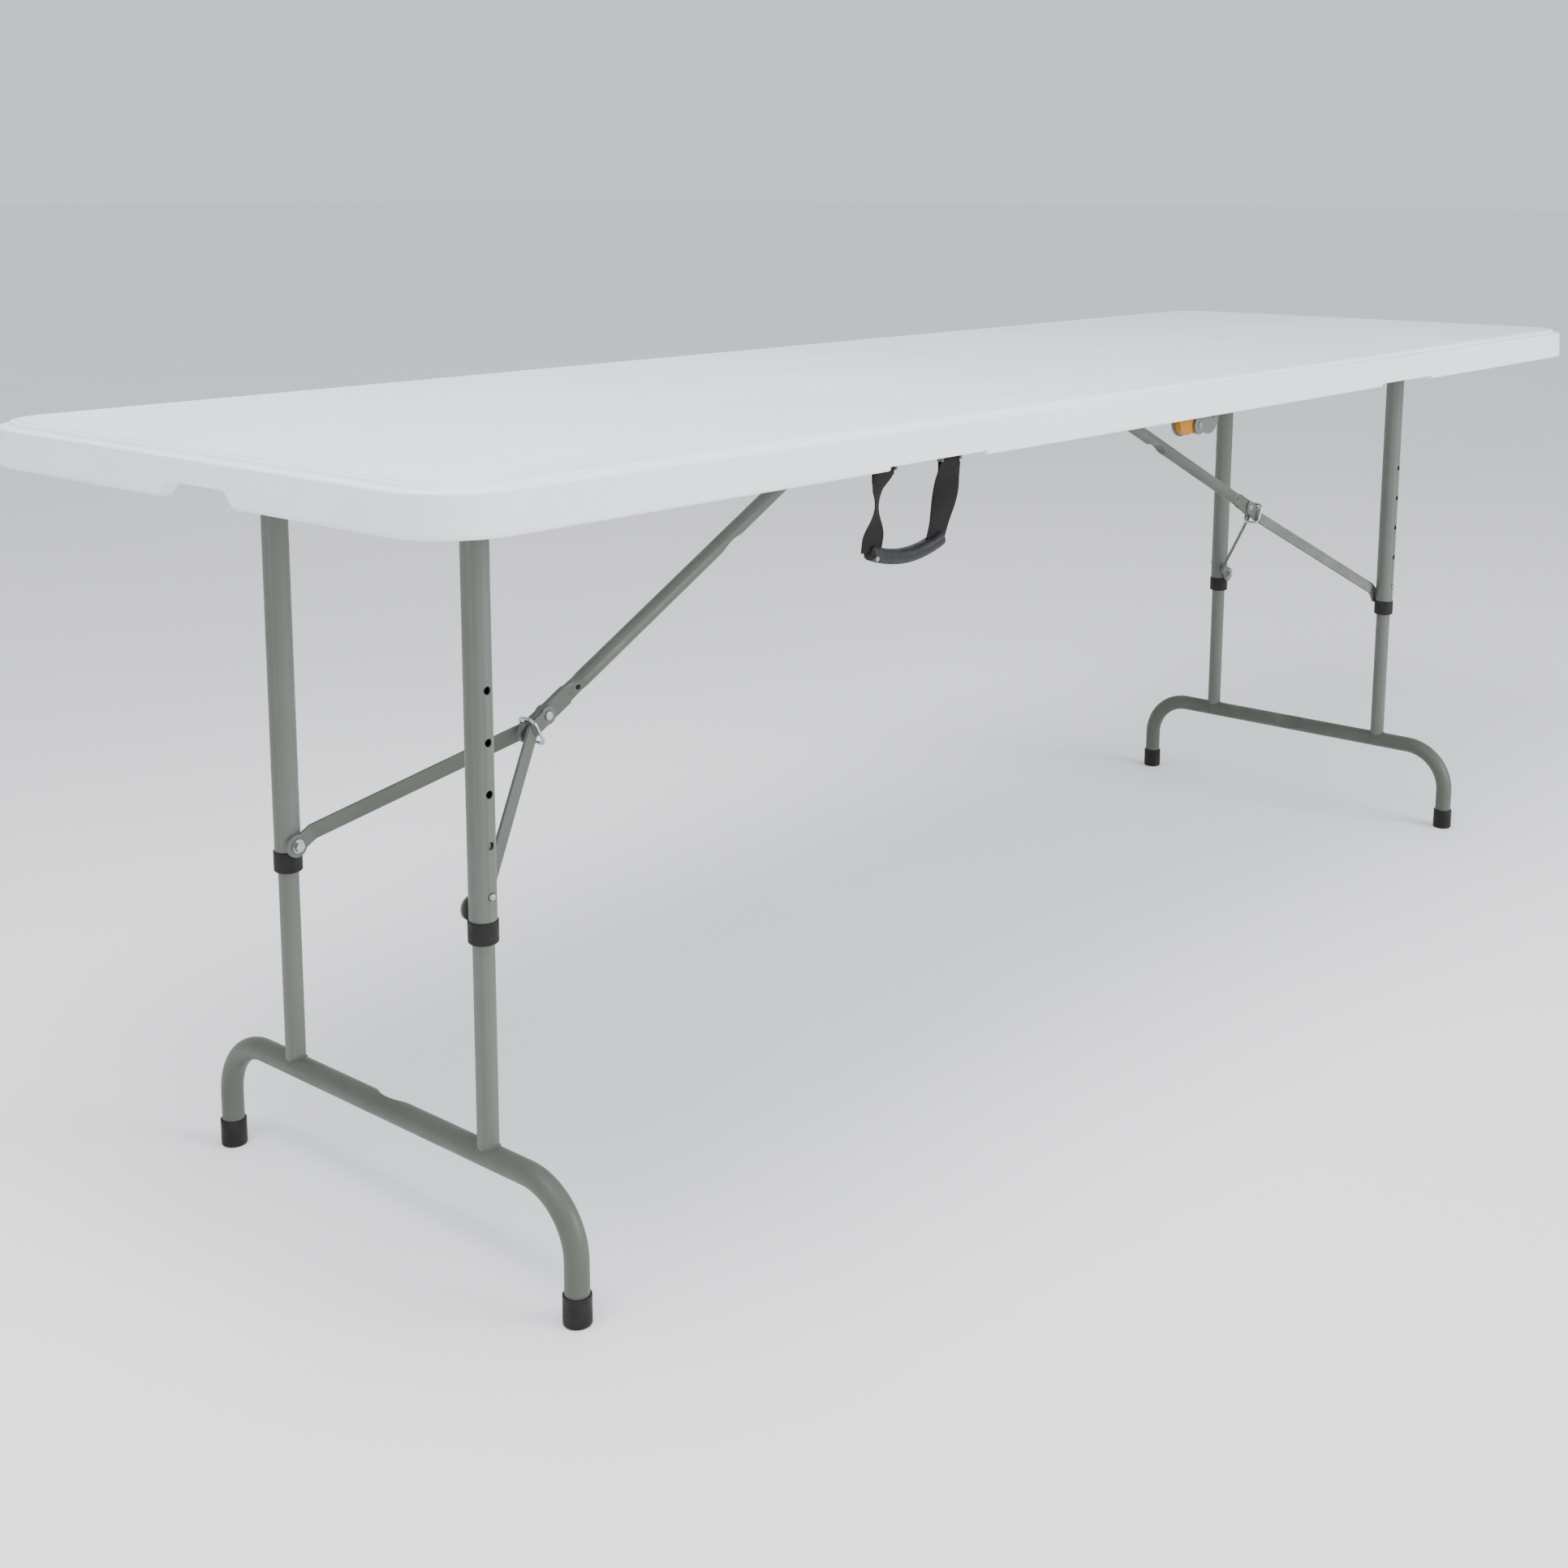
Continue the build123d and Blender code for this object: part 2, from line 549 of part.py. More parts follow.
# ---- carrying handle -----------------------------------------------------------------------------
STRAP_TOP_X = (-633.0, -522.0)
STRAP_FOOT_X = (-645.0, -544.0)
STRAP_WIDTH = 25.0
STRAP_THICK = 1.6
HANDLE_Y = -349.5
HANDLE_BAR_Z = 791.0
GRIP_Z = 711.0
GRIP_SAG = 12.5
GRIP_R = 9.0
GRIP_OVERHANG = 9.0


def handle_strap(top_x, foot_x):
    """A flat stand-in for one webbing strap, leaning from its bracket to the grip."""
    half = STRAP_WIDTH / 2
    top = HANDLE_BAR_Z - 3
    foot = GRIP_Z + GRIP_R + 1.5
    outline = Polyline(
        (top_x - half, top),
        (top_x + half, top),
        (foot_x + half, foot),
        (foot_x - half, foot),
        close=True,
    )
    face = Pos(0, HANDLE_Y - STRAP_THICK / 2, 0) * make_face(Plane.XZ * outline)
    return extrude(face, STRAP_THICK, dir=(0, 1, 0))


def handle_grip():
    """The moulded hand grip, bowed downwards."""
    x0 = STRAP_FOOT_X[0] - GRIP_OVERHANG
    x1 = STRAP_FOOT_X[1] + GRIP_OVERHANG
    arc = ThreePointArc(
        (x0, HANDLE_Y, GRIP_Z),
        ((x0 + x1) / 2, HANDLE_Y, GRIP_Z - GRIP_SAG),
        (x1, HANDLE_Y, GRIP_Z),
    )
    section = Plane(origin=arc @ 0, z_dir=arc % 0) * Circle(GRIP_R)
    grip = sweep(section, path=arc)
    return fillet(grip.edges().filter_by(GeomType.CIRCLE), 3.0)


def handle_bracket(x):
    """A steel plate on the inside of the skirt with a bar that the strap hangs from."""
    wall_y = -WIDTH / 2 + SKIRT_THICKNESS
    plate = block(x - 20, x + 20, wall_y, wall_y + 2, HANDLE_BAR_Z + 6, UNDER_Z)
    bar_y = HANDLE_Y
    bar = rod((x - 18, bar_y, HANDLE_BAR_Z), (x + 18, bar_y, HANDLE_BAR_Z), 1.8)
    for way in (-1, 1):
        bar += block(x + way * 14.5, x + way * 18, wall_y + 1, bar_y + 1.8, HANDLE_BAR_Z - 1.8, HANDLE_BAR_Z + 12)
    return plate + bar


# ---- build every node ----------------------------------------------------------------------------
half = top_half()
for side_name, side in (("near", -1), ("far", 1)):
    save(f"{side_name}_top", half if side > 0 else mirror(half, about=Plane.YZ))
    anchor_x = ANCHOR_X + (OVER_CENTRE if side > 0 else 0)
    knee = knee_point(side, anchor_x)
    anchor = (side * anchor_x, 0, ANCHOR_Z)
    bolt = (side * LEG_X, 0, BOLT_Z)
    upper_frame = link_frame(anchor, knee)
    lower_frame = link_frame(knee, bolt)
    print(side_name, "knee", [round(v, 2) for v in knee])

    save(f"{side_name}_anchor_tube", anchor_tube(side, anchor_x))
    save(f"{side_name}_leg_clamps", *leg_clamps(side))
    save(f"{side_name}_rail_screws", *rail_screws(side))
    save(f"{side_name}_cross_tube", cross_tube(side))
    save(f"{side_name}_collars", collar(side, -1), collar(side, 1))
    save(f"{side_name}_leg_guides", leg_guide(side, -1), leg_guide(side, 1))
    save(f"{side_name}_foot_tube", foot_tube(side))
    save(f"{side_name}_foot_caps", foot_cap(side, -1), foot_cap(side, 1))
    save(f"{side_name}_brace_tube", brace_tube(upper_frame))
    save(f"{side_name}_brace_sleeve", brace_sleeve(side, anchor_x))
    save(f"{side_name}_knee_rivet", knee_rivet(upper_frame))
    save(f"{side_name}_lock_ring", lock_ring(upper_frame))
    save(f"{side_name}_arm_bolts", arm_bolt(lower_frame, -1), arm_bolt(lower_frame, 1))
    for edge_name, edge in (("front", -1), ("rear", 1)):
        save(f"{side_name}_{edge_name}_rail", rail(side, edge))
        save(f"{side_name}_{edge_name}_upper_leg", upper_leg(side, edge))
        save(f"{side_name}_{edge_name}_lower_leg", lower_leg(side, edge))
        save(f"{side_name}_{edge_name}_button", snap_button(side, edge))
        # the link frame's own Y points to world -Y on the near side and +Y on the far side
        save(f"{side_name}_{edge_name}_arm", arm(lower_frame, edge * side))
        plate_y = FAR_PLATE_Y if side > 0 else NEAR_PLATE_Y
        save(f"{side_name}_{edge_name}_hinge_plate", hinge_plate(side, edge, plate_y))

save("hinge_pins", hinge_pin(-1), hinge_pin(1))
save("front_latch", latch(-1))
save("rear_latch", latch(1))
save("handle_left_strap", handle_strap(STRAP_TOP_X[0], STRAP_FOOT_X[0]))
save("handle_right_strap", handle_strap(STRAP_TOP_X[1], STRAP_FOOT_X[1]))
save("handle_grip", handle_grip())
save("handle_brackets", handle_bracket(STRAP_TOP_X[0]), handle_bracket(STRAP_TOP_X[1]))
print("links", round(UPPER_LINK, 2), round(LOWER_LINK, 2))
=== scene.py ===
"""The looks of the folding table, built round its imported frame.

Metres, in the frame's own axes: +X along the table, -Y the long edge with the carrying handle, +Z up.
"""

import json
import math

import bpy
from mathutils import Matrix, Vector


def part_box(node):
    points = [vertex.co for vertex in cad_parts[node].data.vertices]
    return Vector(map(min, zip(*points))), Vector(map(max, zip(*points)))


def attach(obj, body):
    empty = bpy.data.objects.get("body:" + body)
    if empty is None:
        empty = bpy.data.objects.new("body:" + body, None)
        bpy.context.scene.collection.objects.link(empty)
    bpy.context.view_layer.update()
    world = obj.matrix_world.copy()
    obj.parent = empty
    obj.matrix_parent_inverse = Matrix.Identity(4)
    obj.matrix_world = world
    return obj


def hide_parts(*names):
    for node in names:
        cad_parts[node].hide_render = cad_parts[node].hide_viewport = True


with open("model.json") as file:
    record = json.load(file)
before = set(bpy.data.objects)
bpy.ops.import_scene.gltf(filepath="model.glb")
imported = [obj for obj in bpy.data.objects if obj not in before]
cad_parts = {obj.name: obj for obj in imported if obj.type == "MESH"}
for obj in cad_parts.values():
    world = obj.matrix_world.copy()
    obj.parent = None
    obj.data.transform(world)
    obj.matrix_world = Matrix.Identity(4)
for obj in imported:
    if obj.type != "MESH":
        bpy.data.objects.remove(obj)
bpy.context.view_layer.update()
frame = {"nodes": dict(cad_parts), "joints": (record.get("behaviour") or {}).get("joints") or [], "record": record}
scene = bpy.context.scene
joints = {joint["name"]: joint for joint in frame["joints"]}
TURN = 2 * math.pi

# ---- camera --------------------------------------------------------------------------------------
CAMERA_PLACE = Vector((-2.228, -1.592, 1.077))
CAMERA_YAW = math.radians(49.26)
CAMERA_PITCH = math.radians(9.71)
CAMERA_ROLL = math.radians(0.15)
CAMERA_LENS = 46.56
CAMERA_SENSOR = 36.0
CAMERA_SHIFT = -0.1636


def make_camera():
    """The view over the near front corner, as a hand-held camera sees it."""
    data = bpy.data.cameras.new("camera")
    camera = bpy.data.objects.new("camera", data)
    scene.collection.objects.link(camera)
    data.lens = CAMERA_LENS
    data.sensor_width = CAMERA_SENSOR
    data.shift_y = CAMERA_SHIFT
    level = math.cos(CAMERA_PITCH)
    forward = Vector(
        (math.sin(CAMERA_YAW) * level, math.cos(CAMERA_YAW) * level, -math.sin(CAMERA_PITCH))
    )
    right = forward.cross(Vector((0, 0, 1))).normalized()
    up = right.cross(forward)
    cosine = math.cos(CAMERA_ROLL)
    sine = math.sin(CAMERA_ROLL)
    rolled_right = cosine * right + sine * up
    rolled_up = cosine * up - sine * right
    axes = Matrix((rolled_right, rolled_up, -forward)).transposed()
    camera.matrix_world = Matrix.Translation(CAMERA_PLACE) @ axes.to_4x4()
    scene.camera = camera


# ---- materials -----------------------------------------------------------------------------------
class Finish:
    """A procedural material being put together round one Principled shader."""

    def __init__(self, name, colour, roughness, metallic=0.0):
        self.material = bpy.data.materials.new(name)
        self.material.use_nodes = True
        self.nodes = self.material.node_tree.nodes
        self.links = self.material.node_tree.links
        self.shader = self.nodes["Principled BSDF"]
        self.shader.inputs["Base Color"].default_value = (*colour, 1)
        self.shader.inputs["Roughness"].default_value = roughness
        self.shader.inputs["Metallic"].default_value = metallic
        self.place = self.nodes.new("ShaderNodeTexCoord")
        self.last_bump = None

    def noise(self, scale, detail=3.0, stretch=(1, 1, 1)):
        """A noise field in the piece's own metres; scale is features per metre."""
        mapping = self.nodes.new("ShaderNodeMapping")
        mapping.inputs["Scale"].default_value = stretch
        self.links.new(self.place.outputs["Object"], mapping.inputs["Vector"])
        field = self.nodes.new("ShaderNodeTexNoise")
        field.inputs["Scale"].default_value = scale
        field.inputs["Detail"].default_value = detail
        self.links.new(mapping.outputs["Vector"], field.inputs["Vector"])
        return field.outputs["Fac"]

    def ramp(self, field, low, high, dark, light):
        """A field turned into a colour that runs from dark to light."""
        node = self.nodes.new("ShaderNodeValToRGB")
        node.color_ramp.elements[0].position = low
        node.color_ramp.elements[0].color = (*dark, 1)
        node.color_ramp.elements[1].position = high
        node.color_ramp.elements[1].color = (*light, 1)
        self.links.new(field, node.inputs["Fac"])
        return node.outputs["Color"]

    def mix(self, factor, first, second):
        """Two colours mixed by a field."""
        node = self.nodes.new("ShaderNodeMix")
        node.data_type = "RGBA"
        self.links.new(factor, node.inputs[0])
        for socket, colour in ((node.inputs[6], first), (node.inputs[7], second)):
            if isinstance(colour, tuple):
                socket.default_value = (*colour, 1)
            else:
                self.links.new(colour, socket)
        return node.outputs[2]

    def rough(self, field, low, high):
        """Roughness that wanders between two values."""
        node = self.nodes.new("ShaderNodeMapRange")
        node.inputs["From Min"].default_value = 0.3
        node.inputs["From Max"].default_value = 0.7
        node.inputs["To Min"].default_value = low
        node.inputs["To Max"].default_value = high
        self.links.new(field, node.inputs["Value"])
        self.links.new(node.outputs["Result"], self.shader.inputs["Roughness"])

    def bump(self, field, depth, strength=1.0):
        """Relief of a depth in metres, laid over any relief before it."""
        node = self.nodes.new("ShaderNodeBump")
        node.inputs["Distance"].default_value = depth
        node.inputs["Strength"].default_value = strength
        self.links.new(field, node.inputs["Height"])
        if self.last_bump is not None:
            self.links.new(self.last_bump, node.inputs["Normal"])
        self.last_bump = node.outputs["Normal"]
        self.links.new(self.last_bump, self.shader.inputs["Normal"])

    def colour(self, output):
        """The base colour, taken from a node's output."""
        self.links.new(output, self.shader.inputs["Base Color"])

    def edges(self, low, high):
        """A field that is bright along the sharp outer edges of a mesh."""
        geometry = self.nodes.new("ShaderNodeNewGeometry")
        black = (0, 0, 0)
        white = (1, 1, 1)
        return self.ramp(geometry.outputs["Pointiness"], low, high, black, white)

    def math(self, operation, first, second):
        """One sum on two fields or numbers."""
        node = self.nodes.new("ShaderNodeMath")
        node.operation = operation
        for socket, value in ((node.inputs[0], first), (node.inputs[1], second)):
            if isinstance(value, float):
                socket.default_value = value
            else:
                self.links.new(value, socket)
        return node.outputs[0]


def top_plastic():
    """White blow-moulded polyethylene with a fine pebbled skin."""
    finish = Finish("top_plastic", (0.80, 0.815, 0.85), 0.5)
    tone = finish.ramp(finish.noise(2.2), 0.35, 0.7, (0.77, 0.785, 0.82), (0.83, 0.845, 0.875))
    specks = finish.noise(520, 2.0)
    speck_share = finish.ramp(specks, 0.55, 0.72, (0, 0, 0), (0.10, 0.10, 0.10))
    finish.colour(finish.mix(speck_share, tone, (0.6, 0.61, 0.64)))
    finish.rough(finish.noise(14, 5.0, (0.25, 1, 1)), 0.42, 0.6)
    finish.bump(finish.noise(420, 3.0), 0.00035, 0.55)
    finish.bump(finish.noise(9, 2.0), 0.0012, 0.25)
    finish.shader.inputs["Subsurface Weight"].default_value = 0.06
    finish.shader.inputs["Subsurface Radius"].default_value = (0.004, 0.004, 0.004)
    return finish.material


def grey_paint():
    """Satin grey-green powder coat, with orange peel and slightly worn edges."""
    finish = Finish("grey_paint", (0.079, 0.086, 0.070), 0.45)
    tone = finish.ramp(finish.noise(11), 0.3, 0.7, (0.071, 0.078, 0.063), (0.087, 0.095, 0.078))
    worn = finish.mix(finish.edges(0.56, 0.72), tone, (0.14, 0.15, 0.13))
    finish.colour(worn)
    finish.rough(finish.noise(38, 4.0), 0.38, 0.54)
    finish.bump(finish.noise(650, 2.0), 0.00012, 0.5)
    finish.shader.inputs["Specular IOR Level"].default_value = 0.3
    return finish.material


def zinc():
    """Bright zinc plate with a soft brushed haze."""
    finish = Finish("zinc", (0.34, 0.36, 0.36), 0.34, 1.0)
    finish.colour(finish.ramp(finish.noise(160, 4.0), 0.3, 0.75, (0.29, 0.31, 0.31), (0.40, 0.42, 0.42)))
    finish.rough(finish.noise(420, 3.0, (0.15, 1, 1)), 0.26, 0.46)
    finish.bump(finish.noise(900, 2.0), 0.00004, 0.4)
    return finish.material


def ring_wire():
    """Bright plated wire with faint drawing marks."""
    finish = Finish("ring_wire", (0.42, 0.45, 0.46), 0.2, 1.0)
    finish.colour(finish.ramp(finish.noise(240), 0.35, 0.7, (0.36, 0.385, 0.40), (0.48, 0.51, 0.52)))
    finish.rough(finish.noise(120, 2.0), 0.16, 0.26)
    finish.bump(finish.noise(300, 1.0), 0.00002, 0.2)
    return finish.material


def black_plastic():
    """Fine-grained black moulding, paler where it is handled."""
    finish = Finish("black_plastic", (0.012, 0.011, 0.011), 0.5)
    tone = finish.ramp(finish.noise(60, 4.0), 0.3, 0.75, (0.009, 0.008, 0.008), (0.018, 0.016, 0.016))
    finish.colour(finish.mix(finish.edges(0.55, 0.7), tone, (0.045, 0.042, 0.041)))
    finish.rough(finish.noise(90, 4.0), 0.45, 0.65)
    finish.bump(finish.noise(1500, 2.0), 0.00008, 0.6)
    finish.shader.inputs["Specular IOR Level"].default_value = 0.2
    return finish.material


def yellow_plastic():
    """Moulded orange-yellow plastic."""
    finish = Finish("yellow_plastic", (0.34, 0.135, 0.001), 0.45)
    finish.colour(finish.ramp(finish.noise(70, 3.0), 0.3, 0.7, (0.31, 0.12, 0.001), (0.38, 0.155, 0.002)))
    finish.rough(finish.noise(120, 3.0), 0.32, 0.5)
    finish.bump(finish.noise(1100, 2.0), 0.00006, 0.5)
    finish.shader.inputs["Specular IOR Level"].default_value = 0.3
    return finish.material


def grip_plastic():
    """Satin charcoal moulding of the hand grip."""
    finish = Finish("grip_plastic", (0.010, 0.010, 0.011), 0.42)
    tones = ((0.007, 0.007, 0.008), (0.014, 0.014, 0.016))
    finish.colour(finish.ramp(finish.noise(90, 4.0), 0.3, 0.75, *tones))
    finish.rough(finish.noise(150, 3.0), 0.34, 0.52)
    finish.bump(finish.noise(1300, 2.0), 0.00008, 0.5)
    finish.shader.inputs["Specular IOR Level"].default_value = 0.25
    return finish.material


THREAD_PITCH = 0.0019


def webbing():
    """Woven black webbing: over and under threads, drawn in the strap's own length and width, with painted shade
    in the low cells of the weave.
    """
    finish = Finish("webbing", (0.014, 0.012, 0.012), 0.85)
    split = finish.nodes.new("ShaderNodeSeparateXYZ")
    finish.links.new(finish.place.outputs["UV"], split.inputs[0])
    turns = TURN / THREAD_PITCH
    across = finish.math("SINE", finish.math("MULTIPLY", split.outputs["X"], turns), 0.0)
    along = finish.math("SINE", finish.math("MULTIPLY", split.outputs["Y"], turns * 0.8), 0.0)
    weave = finish.math("MULTIPLY", across, along)
    height = finish.math("MULTIPLY_ADD", weave, 0.5)
    # The low cells of the weave are coloured darker than the raised ones: painted shade in the hollows between the
    # threads.
    finish.colour(finish.ramp(height, 0.0, 0.5, (0.005, 0.004, 0.004), (0.016, 0.014, 0.013)))
    finish.bump(height, 0.00035, 0.9)
    finish.bump(finish.noise(3000, 2.0), 0.00008, 0.6)
    finish.rough(finish.noise(500), 0.75, 0.95)
    finish.shader.inputs["Specular IOR Level"].default_value = 0.15
    return finish.material


MATERIALS = {
    "top_plastic": top_plastic(),
    "grey_paint": grey_paint(),
    "zinc": zinc(),
    "ring_wire": ring_wire(),
    "black_plastic": black_plastic(),
    "yellow_plastic": yellow_plastic(),
    "webbing": webbing(),
    "grip_plastic": grip_plastic(),
}


def dress_cad_nodes():
    """Each CAD node takes the finish that its material slot names."""
    for part in frame["record"]["subparts"]:
        mesh = frame["nodes"][part["node"]].data
        mesh.materials.clear()
        mesh.materials.append(MATERIALS[part["material_slot"]])


# ---- mesh helpers --------------------------------------------------------------------------------
BEAD_END = 0.25


def make_piece(name, points, faces, slot, body, uvs=None):
    """A smooth mesh piece in the row frame that rides on a body."""
    mesh = bpy.data.meshes.new(name)
    mesh.from_pydata([tuple(p) for p in points], [], faces)
    mesh.update()
    if uvs is not None:
        layer = mesh.uv_layers.new(name="UVMap")
        for loop in mesh.loops:
            layer.data[loop.index].uv = uvs[loop.vertex_index]
    for polygon in mesh.polygons:
        polygon.use_smooth = True
    mesh.materials.append(MATERIALS[slot])
    piece = bpy.data.objects.new(name, mesh)
    scene.collection.objects.link(piece)
    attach(piece, body)
    return piece


def grid_faces(rows, columns, start=0, close_rows=False):
    """Quads over rows of points, each row a closed ring of columns."""
    faces = []
    for row in range(rows if close_rows else rows - 1):
        here = start + row * columns
        above = start + ((row + 1) % rows) * columns
        for column in range(columns):
            beside = (column + 1) % columns
            faces.append((here + column, here + beside, above + beside, above + column))
    return faces


def bead_mesh(path, radius, closed, sides=10, ripple=0.2, pitch=0.0035):
    """A rippled weld bead along a path of points, as points and faces."""
    count = len(path)
    points = []
    travelled = 0.0
    for i, centre in enumerate(path):
        before = path[(i - 1) % count] if closed else path[max(i - 1, 0)]
        after = path[(i + 1) % count] if closed else path[min(i + 1, count - 1)]
        along = (after - before).normalized()
        helper = Vector((0, 0, 1)) if abs(along.z) < 0.9 else Vector((1, 0, 0))
        side = along.cross(helper).normalized()
        up = side.cross(along)
        travelled += (centre - path[i - 1]).length if i else 0.0
        size = radius * (1 + ripple * math.sin(TURN * travelled / pitch))
        if not closed and i in (0, count - 1):
            size *= BEAD_END
        for k in range(sides):
            angle = TURN * k / sides
            points.append(centre + size * (math.cos(angle) * side + math.sin(angle) * up))
    faces = grid_faces(count, sides, close_rows=closed)
    if not closed:
        faces.append(tuple(range(sides))[::-1])
        faces.append(tuple(range((count - 1) * sides, count * sides)))
    return points, faces


def join_beads(name, paths, radius, body):
    """Several beads as one piece."""
    points = []
    faces = []
    for path, closed in paths:
        more_points, more_faces = bead_mesh(path, radius, closed)
        faces += [tuple(i + len(points) for i in face) for face in more_faces]
        points += more_points
    return make_piece(name, points, faces, "grey_paint", body)


# ---- weld beads ----------------------------------------------------------------------------------
BEAD_RADIUS = 0.0015
SLEEVE_BEAD_RADIUS = 0.00135
SLEEVE_EDGE = 0.001
BEAD_STEPS = 96
FOOT_BAR_RADIUS = 0.0125
LEG_TOP_CLEAR = 0.0015


def foot_welds(side):
    """Beads round the feet of the inner legs, where they saddle on to the foot tube."""
    paths = []
    for edge in ("front", "rear"):
        low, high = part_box(f"{side}_{edge}_lower_leg")
        centre = (low + high) / 2
        radius = (high.x - low.x) / 2
        bar_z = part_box(f"{side}_foot_tube")[1].z - FOOT_BAR_RADIUS
        path = []
        for i in range(BEAD_STEPS):
            angle = TURN * i / BEAD_STEPS
            x = radius * math.cos(angle)
            y = radius * math.sin(angle)
            z = bar_z + math.sqrt(FOOT_BAR_RADIUS**2 - x * x)
            path.append(Vector((centre.x + x, centre.y + y, z)))
        paths.append((path, True))
    join_beads(f"{side}_foot_welds", paths, BEAD_RADIUS, f"{side}_foot_frame")


def leg_top_welds(side):
    """Beads where the cross tube runs through the tops of the outer legs."""
    low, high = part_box(f"{side}_cross_tube")
    tube_radius = (high.x - low.x) / 2
    tube_z = (high.z + low.z) / 2
    paths = []
    for edge in ("front", "rear"):
        leg_low, leg_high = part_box(f"{side}_{edge}_upper_leg")
        centre = (leg_low + leg_high) / 2
        leg_radius = (leg_high.x - leg_low.x) / 2
        open_angle = math.asin((leg_high.z - LEG_TOP_CLEAR - tube_z) / tube_radius)
        for way in (-1, 1):
            path = []
            for i in range(BEAD_STEPS):
                share = i / (BEAD_STEPS - 1)
                angle = math.pi - open_angle + share * (math.pi + 2 * open_angle)
                x = tube_radius * math.cos(angle)
                y = math.sqrt(leg_radius**2 - x * x)
                z = tube_z + tube_radius * math.sin(angle)
                path.append(Vector((centre.x + x, centre.y + way * y, z)))
            paths.append((path, False))
    join_beads(f"{side}_leg_top_welds", paths, BEAD_RADIUS, f"{side}_leg")


def sleeve_welds(side):
    """The bead that joins a brace to the sleeve it turns on."""
    anchor = Vector(joints[f"{side}_brace_fold"]["pos_m"])
    knee = Vector(joints[f"{side}_knee"]["pos_m"])
    along = (knee - anchor).normalized()
    up = (Vector((0, 0, 1)) - along * along.z).normalized()
    across = along.cross(up)
    sleeve_low, sleeve_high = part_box(f"{side}_brace_sleeve")
    sleeve_radius = (sleeve_high.z - sleeve_low.z) / 2
    brace_low, brace_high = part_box(f"{side}_brace_tube")
    brace_radius = min(sleeve_radius - SLEEVE_EDGE, (brace_high.y - brace_low.y) / 2)
    path = []
    for i in range(BEAD_STEPS):
        angle = TURN * i / BEAD_STEPS
        sideways = brace_radius * math.cos(angle)
        rise = brace_radius * math.sin(angle)
        out = math.sqrt(sleeve_radius**2 - rise * rise)
        path.append(anchor + along * out + across * sideways + up * rise)
    join_beads(f"{side}_sleeve_weld", [(path, True)], SLEEVE_BEAD_RADIUS, f"{side}_brace")


# ---- carrying handle -----------------------------------------------------------------------------
STRAP_WIDTH = 0.036
STRAP_BAR_WIDTH = 0.028
STRAP_THICK = 0.0016
STRAP_LOOP_RADIUS = 0.0031
STRAP_TAIL = 0.014
STRAP_ROWS = 90
STRAP_COLUMNS = 28
STRAP_INTO_GRIP = 0.012
END_BAND = 0.001
STRAP_FACE_FLATNESS = 0.35
STRAP_EDGE_ROUNDNESS = 0.6
STRAP_SETTLE = 0.25
STRAP_BOW = 0.004
STRAP_CUP = 0.0016
TWIST_RATE = 1.15
SPREAD_RATE = 14
TAPER = 0.35
TAPER_FROM = 0.7
GRIP_ROWS = 190
GRIP_COLUMNS = 72
GRIP_SKIN = 0.0004
GRIP_END_CLEAR = 0.0005
GRIP_END_FROM = 0.93
GRIP_END_LEAST = 0.02
GRIP_FLATTEN = 0.06
DIMPLE_PITCH = 0.0068
DIMPLE_DEPTH = 0.0009
DIMPLE_SPAN = 0.8
DIMPLE_BELOW = -0.15
DIMPLE_RIM = 0.25
DIMPLE_STEEPNESS = 1.6
PAD_AT = 0.012
PAD_HALF_LENGTH = 0.011
PAD_HALF_ANGLE = 0.30
PAD_HEIGHT = 0.0005
PAD_ROUNDNESS = 0.3
EYELET_ROWS = 48
EYELET_COLUMNS = 12
EYELET_RADIUS = 0.0017
EYELET_TUBE = 0.0008
EYELET_DEPTH = 0.0009
EYELET_PROUD = 0.0004
EYELET_INSET = 0.004
EYELET_DROP = 0.0150


def strap_section(width, thickness):
    """A flat section with round edges, as (across, through) pairs."""
    section = []
    for k in range(STRAP_COLUMNS):
        angle = TURN * k / STRAP_COLUMNS
        across = math.copysign(abs(math.cos(angle)) ** STRAP_FACE_FLATNESS, math.cos(angle))
        through = math.copysign(abs(math.sin(angle)) ** STRAP_EDGE_ROUNDNESS, math.sin(angle))
        section.append((across * width / 2, through * thickness / 2))
    return section


def mean_x(corners):
    return sum(corner.x for corner in corners) / len(corners)


